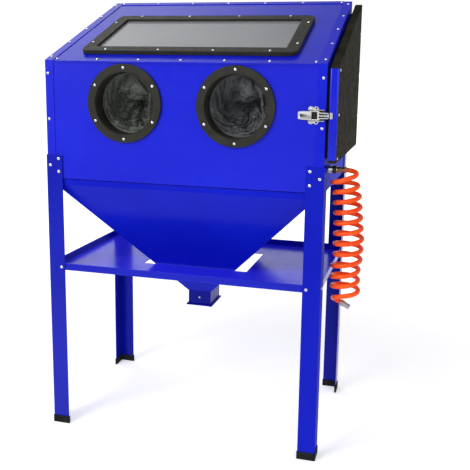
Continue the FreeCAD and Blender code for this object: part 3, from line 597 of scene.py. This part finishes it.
def hose_route():
    """Straight out of the plug, round the coil clockwise seen from above, and out to the connector."""
    plug_low, plug_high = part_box("hose_plug")
    inlet = (plug_low + plug_high) / 2
    points = [Vector((plug_high.x, inlet.y, inlet.z))]
    points += [at(*place) for place in HOSE_START]
    tighten = 1 / math.cos(math.pi / STEPS_PER_TURN)
    for i in range(STEPS_PER_TURN // 4, int(COIL_TURNS * STEPS_PER_TURN)):
        turn = (i + 0.5) / STEPS_PER_TURN
        x, radius, tilt = coil_at(turn)
        around = math.tau * turn
        middle_y = HOSE_Y - 12 * max(0, 1 - turn / 3) ** 2
        level = COIL_TOP - TURN_PITCH * turn + tilt * (math.cos(around) - 1)
        reach = radius * tighten
        points.append(at(x + reach * math.cos(around), middle_y - reach * math.sin(around), level))
    points += [at(*place) for place in HOSE_END]
    return points


def make_hose(plug):
    data = bpy.data.curves.new("air_hose", "CURVE")
    data.dimensions = "3D"
    data.resolution_u = 5
    data.bevel_depth = TUBE / 2 * MM
    data.bevel_resolution = 7
    points = hose_route()
    spline = data.splines.new("NURBS")
    spline.points.add(len(points) - 1)
    for point, place in zip(spline.points, points):
        point.co = (*place, 1)
    spline.order_u = 3
    spline.use_endpoint_u = True
    hose = new_object("air_hose", data, HOSE, "cabinet")
    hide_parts("hose_coil")


# ---------------------------------------------------------------- air fittings

KNURL_DEPTH = 0.955
FITTING_SIDES = 72
# distance from the left end and radius, in millimetres
SLEEVE_PROFILE = [(0, 8.65), (0, 10.2), (0.5, 10.7), (1.6, 10.9), (2.0, 10.3), (2.6, 10.3), (3.0, 11),
                  (9.0, 11), (9.4, 10.4), (10.2, 10.4), (10.6, 10.9), (11.6, 10.7), (12, 10.2), (12, 8.65)]
PLUG_PROFILE = [(0, 3.2), (0, 4.5), (0.6, 4.9), (14, 4.9), (14, 7.8), (14.5, 8.2), (18, 8.2), (18.4, 7.4),
                (20, 7.4), (20.4, 8.2), (25, 8.2), (25.4, 7.6), (31.6, 7.6), (32, 8.7), (32.6, 9), (34.4, 9),
                (35, 8.5), (36.4, 8.5), (37, 9), (39.4, 9), (40.2, 8.8), (41, 8.2), (41, 3.2)]


def turned_piece(node, name, profile, knurl, material):
    """A turned fitting along X that stands for a node; knurl is the span of its profile that is ridged."""
    low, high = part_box(node)
    middle = (low + high) / 2
    form = bmesh.new()
    rings = []
    for along, radius in profile:
        ridged = knurl[0] <= along <= knurl[1]
        ring = []
        for i, (y, z) in enumerate(circle(FITTING_SIDES, radius * MM)):
            share = KNURL_DEPTH if ridged and i % 3 == 0 else 1
            ring.append(form.verts.new((low.x + along * MM, middle.y + share * y, middle.z + share * z)))
        rings.append(ring)
    for a, b in zip(rings, rings[1:] + rings[:1]):
        join_rings(form, a, b)
    mesh = closed_mesh(form, name, 28)
    piece = new_object(name, mesh, material, body_of(NODES[node])[0])
    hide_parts(node)
    return piece


def make_coupler_sleeve():
    turned_piece("coupler_sleeve", "knurled_sleeve", SLEEVE_PROFILE, (3.0, 9.0), BLACK_OXIDE)


def make_hose_plug():
    """Nipple, ridged ferrule and the crimped end where the hose goes in."""
    return turned_piece("hose_plug", "plug_fitting", PLUG_PROFILE, (20.4, 25), BRASS_DARK)


# ---------------------------------------------------------------- latch

LEVER_SHEET = 1.1
LEVER_DISH = 2.9
LEVER_ROWS, LEVER_COLUMNS = 40, 24
LUG_THICK, LUG_RADIUS = 1.3, 4.3
HUB_OUTER, HUB_INNER, HUB_SIDES = 3.1, 1.9, 28
RAIL_WIDTH, ARM_HALF = 3.0, 1.5
CLAW_THICK, CLAW_HALF = 2.5, 8.0
PULL_ROD = 2.1


def dish(u, v):
    """Depth share of the pressed lever: a flat rim round a hollow that is deep at the tip and fades out."""
    across = (2 * v - 1) / 0.70
    start = min(1, max(0, (u - 0.11) / 0.07))
    if abs(across) >= 1:
        return 0
    return (1 - across * across) * start * (1 - 0.85 * max(0, u - 0.18) / 0.82)


def add_grip(form, left, right, front, level, half):
    """Dished sheet from the tip to the lugs, a little narrower at its tip."""
    sides = []
    for back in (0, LEVER_SHEET):
        rows = []
        for i in range(LEVER_ROWS + 1):
            u = i / LEVER_ROWS
            widening = 0.86 + 0.14 * min(1, u * 2.2)
            tip = min(1, 0.82 + 0.288 * math.sqrt(min(1, u / 0.02)))
            row = []
            for j in range(LEVER_COLUMNS + 1):
                v = j / LEVER_COLUMNS
                place = at(left + (right - left) * u, front + LEVER_DISH * dish(u, v) + back,
                           level + half * widening * tip * (2 * v - 1))
                row.append(form.verts.new(place))
            rows.append(row)
        for low, high in zip(rows, rows[1:]):
            join_rows(form, low, high)
        sides.append(rows)
    top, bottom = sides
    for end in (0, -1):
        join_rows(form, top[end], bottom[end])
        join_rows(form, [row[end] for row in top], [row[end] for row in bottom])


def add_lug(form, x, y, pivot_x, pivot_y, level):
    """Side plate from the grip to the pivot, rounded about the pin."""
    outline = [(x, y), (pivot_x - 2, y - 0.2)]
    outline += [(pivot_x + LUG_RADIUS * math.cos(a), pivot_y + LUG_RADIUS * math.sin(a))
                for a in (math.radians(-70 + 20 * k) for k in range(10))]
    outline += [(x, pivot_y - 1.2)]
    add_solid(form, [[at(px, py, level + s * LUG_THICK / 2) for px, py in outline] for s in (-1, 1)])


def add_hub(form, pivot_x, pivot_y, level, half):
    """Tube between the lugs, round the pin."""
    rings = []
    for z, radius in ((-half, HUB_OUTER), (half, HUB_OUTER), (half, HUB_INNER), (-half, HUB_INNER)):
        rings.append([form.verts.new(at(pivot_x + x, pivot_y + y, level + z))
                      for x, y in circle(HUB_SIDES, radius)])
    for a, b in zip(rings, rings[1:] + rings[:1]):
        join_rings(form, a, b)


def make_lever():
    """Pressed-steel lever: a dished grip with a flat rim, two side lugs and a hub on the pivot pin."""
    low, high = box_mm("latch_lever")
    pin_low, pin_high = box_mm("latch_pin")
    pivot_x, pivot_y = (pin_low.x + pin_high.x) / 2, (pin_low.y + pin_high.y) / 2
    level, half = (low.z + high.z) / 2, (high.z - low.z) / 2
    lug_half = (pin_high.z - pin_low.z) / 2 - 3.6
    form = bmesh.new()
    add_grip(form, low.x, pivot_x - 9, low.y, level, half)
    for side in (-1, 1):
        add_lug(form, pivot_x - 12, low.y + 0.6, pivot_x, pivot_y, level + side * lug_half)
    add_hub(form, pivot_x, pivot_y, level, lug_half)
    lever = new_object("latch_lever_pressed", closed_mesh(form, "lever", 50), CHROME_LEVER_SHADED, "latch_handle")
    round_edges(lever, 0.25, 50)
    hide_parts("latch_lever")


def add_plate(form, outline, back, front):
    """A flat plate: its outline in x and z, from its back to its front y, all in cabinet millimetres."""
    add_solid(form, [[at(x, y, z) for x, z in outline] for y in (back, front)])


def add_rod(form, start, end, radius):
    """A round bar along x or z, in cabinet millimetres."""
    axis = (Vector(end) - Vector(start)).normalized()
    across = axis.cross(Vector((0, 1, 0))).normalized()
    beside = axis.cross(across)
    add_solid(form, [[at(*(Vector(middle) + across * a + beside * b)) for a, b in circle(20, radius)]
                     for middle in (start, end)])


def finish_hardware(form, name, body, node):
    """Closes a chrome part of the latch, rounds its edges and lets it stand for a node."""
    piece = new_object(name, closed_mesh(form, name, 40), CHROME, body)
    round_edges(piece, 0.35, 40)
    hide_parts(node)


def make_hook():
    """Forked arm: two side rails that close in on the claw, a bridge, a pull rod and the cross pin."""
    low, high = box_mm("latch_hook")
    left, right, level, tall = low.x, high.x, (low.z + high.z) / 2, (high.z - low.z) / 2
    pivot_x, pivot_y = left + 2, low.y + ARM_HALF
    form = bmesh.new()
    for side in (-1, 1):
        outer = [(left, tall), (right - 29, tall), (right - 24, tall - 4.2), (right, tall - 5.2)]
        inner = [(x, z - RAIL_WIDTH) for x, z in reversed(outer)]
        rail = [(x, level + side * z) for x, z in outer + inner]
        add_plate(form, rail, pivot_y - ARM_HALF, pivot_y + ARM_HALF)
    bridge_half = tall - 2
    bridge = [(right - 32, -bridge_half), (right - 27, -bridge_half), (right - 27, bridge_half),
              (right - 32, bridge_half)]
    add_plate(form, [(x, level + z) for x, z in bridge], pivot_y - 1.2, pivot_y + 1.2)
    add_rod(form, (right - 29, pivot_y, level), (right - 1, pivot_y, level), PULL_ROD)
    claw = [(right - CLAW_THICK, -CLAW_HALF), (right, -CLAW_HALF), (right, CLAW_HALF),
            (right - CLAW_THICK, CLAW_HALF)]
    add_plate(form, [(x, level + z) for x, z in claw], pivot_y - ARM_HALF, high.y)
    add_rod(form, (pivot_x, pivot_y, level - tall), (pivot_x, pivot_y, level + tall), 1.5)
    finish_hardware(form, "forked_hook", "latch_arm", "latch_hook")


def make_keeper():
    """Narrow catch on the door's edge: a foot on the strip and a lip that the claw goes behind."""
    low, high = box_mm("latch_keeper")
    left, level, back, tip = low.x, (low.z + high.z) / 2 - 2, high.y, low.y
    form = bmesh.new()
    foot = [(0, -8.5), (7, -8.5), (8, -7.5), (8, 7.5), (7, 8.5), (0, 8.5)]
    add_plate(form, [(left + x, level + z) for x, z in foot], back - 1.5, back + 0.8)
    lip = [(2.5, -8.5), (4.9, -8.5), (4.9, 8.5), (2.5, 8.5)]
    add_plate(form, [(left + x, level + z) for x, z in lip], tip, back)
    finish_hardware(form, "narrow_keeper", "door", "latch_keeper")


# ---------------------------------------------------------------- door strip

STRIP_PROUD = 1.4
STRIP_LEAN = math.radians(70)
STRIP_STEPS = 8
STRIP_CORNER = 0.36
STRIP_END, STRIP_END_SHARE = 1.2, 0.9


def make_edge_strip():
    """Pressed strip on the door's front edge, with rounded long edges and eased ends."""
    low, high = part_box("door_edge_strip")
    half, middle = (high.x - low.x) / 2, (high.x + low.x) / 2
    outline = [(-half, high.y)]
    for step in range(STRIP_STEPS + 1):
        lean = STRIP_LEAN * (1 - step / STRIP_STEPS)
        inward = 1 - math.sin(lean) / math.sin(STRIP_LEAN)
        rise = (math.cos(lean) - math.cos(STRIP_LEAN)) / (1 - math.cos(STRIP_LEAN))
        outline.append((-half + half * STRIP_CORNER * inward, low.y - STRIP_PROUD * MM * rise))
    outline += [(-x, y) for x, y in reversed(outline)]
    end = STRIP_END * MM
    levels = ((low.z, STRIP_END_SHARE), (low.z + end, 1.0), (high.z - end, 1.0), (high.z, STRIP_END_SHARE))
    form = bmesh.new()
    add_solid(form, [[(middle + x * share, high.y + (y - high.y) * share, level) for x, y in outline]
                     for level, share in levels])
    strip = new_object("rolled_edge_strip", closed_mesh(form, "edge_strip", 40), BLUE, "door")
    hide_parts("door_edge_strip")


# ---------------------------------------------------------------- gloves

CUFF_SIDES, CUFF_RINGS = 84, 40
CUFF_RADIUS = 90.3
CUFF_FRONT = 46.0
CUFF_CUT = 165.0
GATHER_RADIUS = 50.0
TWIST = 0.5
DRAWN_FRAME, LAST_FRAME = 28, 37
# centre of the forearm and hand, and their half width and half depth there
HAND_PATH = [(8, 126, -6), (6, 150, -16), (3, 178, -36), (0, 206, -62), (0, 232, -88), (0, 248, -112),
             (0, 262, -136), (0, 270, -152)]
HAND_SIZE = [(17, 18), (30, 26), (41, 34), (42, 36), (38, 30), (42, 25), (42, 20), (34, 14)]
PALM = Vector((0, 262, -138))
FINGER_REACH = Vector((0, 30, -42)).normalized()
# side offset, length, radius and spread of each finger
FINGERS = ((-31, 34, 8.4, -9), (-11, 42, 8.8, -3), (10, 44, 8.8, 2), (30, 36, 8.2, 8))
# distance along a finger and its share of the radius
FINGER_PROFILE = [(-0.45, 0.9), (0, 1.0), (0.3, 1.02), (0.55, 0.96), (0.8, 0.9), (1.0, 0.82), (1.1, 0.66),
                  (1.17, 0.42), (1.2, 0.15)]
FINGER_SIDES = 20


def cuff_mesh(side):
    """The cuff as it is cut: a tapered tube from the port's collar to where it is gathered."""
    places = []
    for j in range(CUFF_RINGS + 1):
        along = j / CUFF_RINGS
        radius = CUFF_RADIUS + (GATHER_RADIUS - CUFF_RADIUS) * max(0.0, along - 0.05) / 0.95
        for i in range(CUFF_SIDES):
            around = math.tau * i / CUFF_SIDES
            seed = Vector((math.cos(around) * 1.5 + side * 7, math.sin(around) * 1.5, along * 5))
            r = radius * (1 + 0.03 * noise.noise(seed) * min(1, along * 8))
            place = Vector((r * math.cos(around), CUFF_FRONT + CUFF_CUT * along, r * math.sin(around)))
            places.append(place * MM)
    quads = [(j * CUFF_SIDES + i, j * CUFF_SIDES + (i + 1) % CUFF_SIDES,
              (j + 1) * CUFF_SIDES + (i + 1) % CUFF_SIDES, (j + 1) * CUFF_SIDES + i)
             for j in range(CUFF_RINGS) for i in range(CUFF_SIDES)]
    mesh = bpy.data.meshes.new("cuff")
    mesh.from_pydata(places, [], quads)
    return mesh


def gathered_ring(side):
    """Where the far edge of the cuff ends up: bunched to a small star just behind the port."""
    x, y, z = HAND_PATH[0]
    places = []
    for i in range(CUFF_SIDES):
        around = math.tau * i / CUFF_SIDES
        turned = around + TWIST * side
        r = 17 + 7 * math.cos(5 * around + 1 + side) + 3 * math.cos(9 * around)
        depth = 5 * math.sin(3 * around)
        places.append(Vector((x + r * math.cos(turned), y + depth, z + 1.2 * r * math.sin(turned))))
    return places


def add_cloth(cuff):
    """Thin rubberised cloth that keeps clear of itself."""
    cloth = cuff.modifiers.new("cloth", "CLOTH")
    settings = cloth.settings
    settings.vertex_group_mass = "pins"
    settings.quality = 7
    settings.mass = 0.25
    settings.tension_stiffness = 18
    settings.compression_stiffness = 12
    settings.shear_stiffness = 6
    settings.bending_stiffness = 3.0
    settings.tension_damping = 8
    settings.compression_damping = 8
    settings.air_damping = 2
    settings.effector_weights.gravity = 0.3
    cloth.collision_settings.use_self_collision = True
    cloth.collision_settings.self_distance_min = 2 * MM
    cloth.collision_settings.collision_quality = 3
    cloth.point_cache.frame_end = LAST_FRAME + 1


def simulate_cuff(side):
    """Cloth held at the collar while its far edge is drawn back and bunched, so it buckles into folds."""
    scene = bpy.context.scene
    cuff = scratch_object("cuff", cuff_mesh(side))
    last = range(CUFF_RINGS * CUFF_SIDES, (CUFF_RINGS + 1) * CUFF_SIDES)
    pins = cuff.vertex_groups.new(name="pins")
    pins.add([*range(2 * CUFF_SIDES), *last], 1.0, "REPLACE")
    cuff.shape_key_add(name="Basis")
    drawn = cuff.shape_key_add(name="drawn")
    for index, place in zip(last, gathered_ring(side)):
        drawn.data[index].co = place * MM
    for value, frame_number in ((0, 1), (1, DRAWN_FRAME)):
        drawn.value = value
        drawn.keyframe_insert("value", frame=frame_number)
    add_cloth(cuff)
    for frame_number in range(1, LAST_FRAME + 1):
        scene.frame_set(frame_number)
    settled = cuff.evaluated_get(bpy.context.evaluated_depsgraph_get())
    places = [v.co / MM for v in settled.data.vertices]
    scene.frame_set(1)
    bpy.data.objects.remove(cuff)
    return places


def crumple(place, side):
    """Small sharp creases over the big folds, in millimetres."""
    point = Vector((place.x * 0.035 + side * 3, place.y * 0.03, place.z * 0.035))
    near, far = noise.voronoi(point)[0][:2]
    return 2.6 * (min(far - near, 0.5) - 0.25) + 1.2 * noise.noise(point * 2.5)


def forearm_row(number, part, side, last_ring):
    """One ring between two stations of the hand's path, eased out of the gathered edge."""
    a, b = Vector(HAND_PATH[number - 1]), Vector(HAND_PATH[number])
    centre = a.lerp(b, part)
    wide, deep = (HAND_SIZE[number - 1][i] + (HAND_SIZE[number][i] - HAND_SIZE[number - 1][i]) * part
                  for i in (0, 1))
    sideways = Vector((1, 0, 0))
    upward = sideways.cross((b - a).normalized()).normalized()
    blend = min(1, (number - 1 + part) / 1.6)
    row = []
    for i in range(CUFF_SIDES):
        around = math.tau * i / CUFF_SIDES + TWIST * side
        fold = 1 + 0.13 * (1 - part * 0.2) * math.sin(6 * around + number) * max(0, 1 - number / 5)
        spot = centre + sideways * wide * fold * math.cos(around)
        spot -= upward * deep * fold * math.sin(around)
        carried = last_ring[i] + (centre - Vector(HAND_PATH[0]))
        row.append(carried.lerp(spot, blend))
    return row


def add_finger(form, root, direction, length, radius):
    """A tapering, slightly curled finger with a rounded tip."""
    direction = direction.normalized()
    across = Vector((1, 0, 0)).cross(direction).normalized()
    beside = direction.cross(across)
    rings = []
    for along, thick in FINGER_PROFILE:
        curl = Vector((0, -0.12, -0.05)) * length * max(0, along) ** 2
        centre = root + direction * length * along + curl
        rings.append([(centre + across * a + beside * b) * MM
                      for a, b in circle(FINGER_SIDES, radius * thick)])
    add_solid(form, rings)


def settle_on_collar(vert):
    """Keeps the cuff's front edge on the collar."""
    limit = CUFF_RADIUS * MM
    reach = math.hypot(vert.co.x, vert.co.z)
    if vert.co.y < (CUFF_FRONT + 8) * MM and reach > limit:
        vert.co.x *= limit / reach
        vert.co.z *= limit / reach
    vert.co.y = max(vert.co.y, CUFF_FRONT * MM * 0.98)


def make_glove(side, where, cloth):
    """Cuff and forearm in one sheet of rubberised cloth, with the fingers on the end of it."""
    cuff = simulate_cuff(side)
    rows = [cuff[j * CUFF_SIDES:(j + 1) * CUFF_SIDES] for j in range(CUFF_RINGS + 1)]
    last_ring = rows[-1]
    rows += [forearm_row(number, part, side, last_ring)
             for number in range(1, len(HAND_PATH)) for part in (0.25, 0.5, 0.75, 1.0)]
    form = bmesh.new()
    rings = [[form.verts.new(place * MM) for place in row] for row in rows]
    for low, high in zip(rings, rings[1:]):
        join_rings(form, low, high)
    form.faces.new(rings[-1])
    bmesh.ops.subdivide_edges(form, edges=form.edges, cuts=1, use_grid_fill=True, smooth=0.6)
    form.normal_update()
    for vert in form.verts:
        place = vert.co / MM
        fade = min(1, max(0, (place.y - CUFF_FRONT - 2) / 14))
        vert.co = (place + vert.normal * crumple(place, side) * fade) * MM
        settle_on_collar(vert)
    for offset, length, radius, spread in FINGERS:
        lean = FINGER_REACH + Vector((spread / 60, 0, 0))
        add_finger(form, PALM + Vector((offset, 0, 0)), lean, length, radius)
    add_finger(form, Vector((-side * 36, 250, -112)), Vector((-side * 0.55, 0.35, -0.75)), 36, 9.2)
    mesh = closed_mesh(form, "glove_cloth_" + where)
    mesh.transform(Matrix.Translation(at(side * PORT_SPREAD, 0, PORT_LEVEL)))
    glove = new_object("glove_cloth_" + where, mesh, cloth, "cabinet")
    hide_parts("glove_" + where)


# ---------------------------------------------------------------- screws

SCREW_GROUPS = ["roof_screws", "panel_screws", "frame_bolts", "window_screws", "ring_screws", "door_screws"]
HEAD_SIDES = 40
# radius and height shares of a pan head
HEAD_PROFILE = [(0.99, 0.0), (1.0, 0.06), (0.995, 0.22), (0.965, 0.42), (0.90, 0.62), (0.79, 0.79),
                (0.64, 0.91), (0.46, 0.97), (0.26, 0.995)]
# level, half length and half width of one bar of the cross recess
RECESS_PROFILE = ((0.35, 0.30, 0.10), (1.2, 0.62, 0.17))
TURN_PER_SCREW = 2.4


def recess_cutter(turn):
    """One bar of the cross recess, narrower at its floor than at the crown."""
    spin = Matrix.Rotation(turn, 3, "Z")
    form = bmesh.new()
    add_solid(form, [[spin @ Vector((sx * long, sy * wide, z)) for sx, sy in SQUARE]
                     for z, long, wide in RECESS_PROFILE])
    return scratch_object("recess", to_mesh(form, "recess"))


def head_template():
    """Pan head of radius 1 and height 1 at the origin, facing +Z, with a cross recess cut into its crown."""
    form = bmesh.new()
    add_solid(form, [[(x, y, height) for x, y in circle(HEAD_SIDES, radius)]
                     for radius, height in HEAD_PROFILE])
    head = scratch_object("head_template", to_mesh(form, "head_template"))
    cutters = [recess_cutter(turn) for turn in (0, math.pi / 2)]
    for cutter in cutters:
        cut = head.modifiers.new(cutter.name, "BOOLEAN")
        cut.operation = "DIFFERENCE"
        cut.solver = "EXACT"
        cut.object = cutter
    evaluated = head.evaluated_get(bpy.context.evaluated_depsgraph_get())
    finished = bpy.data.meshes.new_from_object(evaluated)
    for thing in [head, *cutters]:
        bpy.data.objects.remove(thing)
    return finished


def islands(mesh):
    """The separate solids of a mesh, as lists of face indices; equal places count as one vertex."""
    parent = {}

    def root(key):
        while parent[key] != key:
            parent[key] = parent[parent[key]]
            key = parent[key]
        return key

    keys = [tuple(round(c, 6) for c in v.co) for v in mesh.vertices]
    for key in keys:
        parent.setdefault(key, key)
    for face in mesh.polygons:
        first = root(keys[face.vertices[0]])
        for index in face.vertices[1:]:
            parent[root(keys[index])] = first
    found = {}
    for face in mesh.polygons:
        found.setdefault(root(keys[face.vertices[0]]), []).append(face.index)
    return [found[key] for key in sorted(found)]


def head_seat(mesh, faces):
    """A head's seat: middle and outward direction of its one large flat face, its radius and its height."""
    flat = {}
    for index in faces:
        face = mesh.polygons[index]
        key = tuple(round(c, 2) for c in face.normal)
        flat[key] = flat.get(key, 0) + face.area
    up = -Vector(max(flat, key=flat.get)).normalized()
    points = [mesh.vertices[v].co for index in faces for v in mesh.polygons[index].vertices]
    levels = [p.dot(up) for p in points]
    height = max(levels) - min(levels)
    base = [p for p, level in zip(points, levels) if level - min(levels) < height * 0.05]
    middle = Vector([(min(p[i] for p in base) + max(p[i] for p in base)) / 2 for i in range(3)])
    radius = max((p - middle).length for p in base)
    return middle, up, radius, height


def make_screws():
    """Each group of plain heads is replaced by heads with a cross recess, on the same seats."""
    template = head_template()
    for group in SCREW_GROUPS:
        mesh = NODES[group].data
        form = bmesh.new()
        for number, faces in enumerate(islands(mesh)):
            middle, up, radius, height = head_seat(mesh, faces)
            spin = Matrix.Rotation(number * TURN_PER_SCREW, 4, "Z")
            turn = up.to_track_quat("Z", "Y").to_matrix().to_4x4()
            stretch = Matrix.Diagonal((radius, radius, height, 1))
            copy = template.copy()
            copy.transform(Matrix.Translation(middle) @ turn @ spin @ stretch)
            form.from_mesh(copy)
            bpy.data.meshes.remove(copy)
        heads = to_mesh(form, group)
        smooth(heads, 35)
        piece = new_object(group + "_heads", heads, ZINC, body_of(NODES[group])[0])
        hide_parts(group)


# ---------------------------------------------------------------- build

make_camera()
make_hose(make_hose_plug())
make_studio()
dress_frame()
make_coupler_sleeve()
make_lever()
make_hook()
make_keeper()
make_edge_strip()
make_glove(-1, "left", CLOTH_LEFT_GREEN_CAST)
make_glove(1, "right", CLOTH_RIGHT_BLUE_CAST)
make_screws()
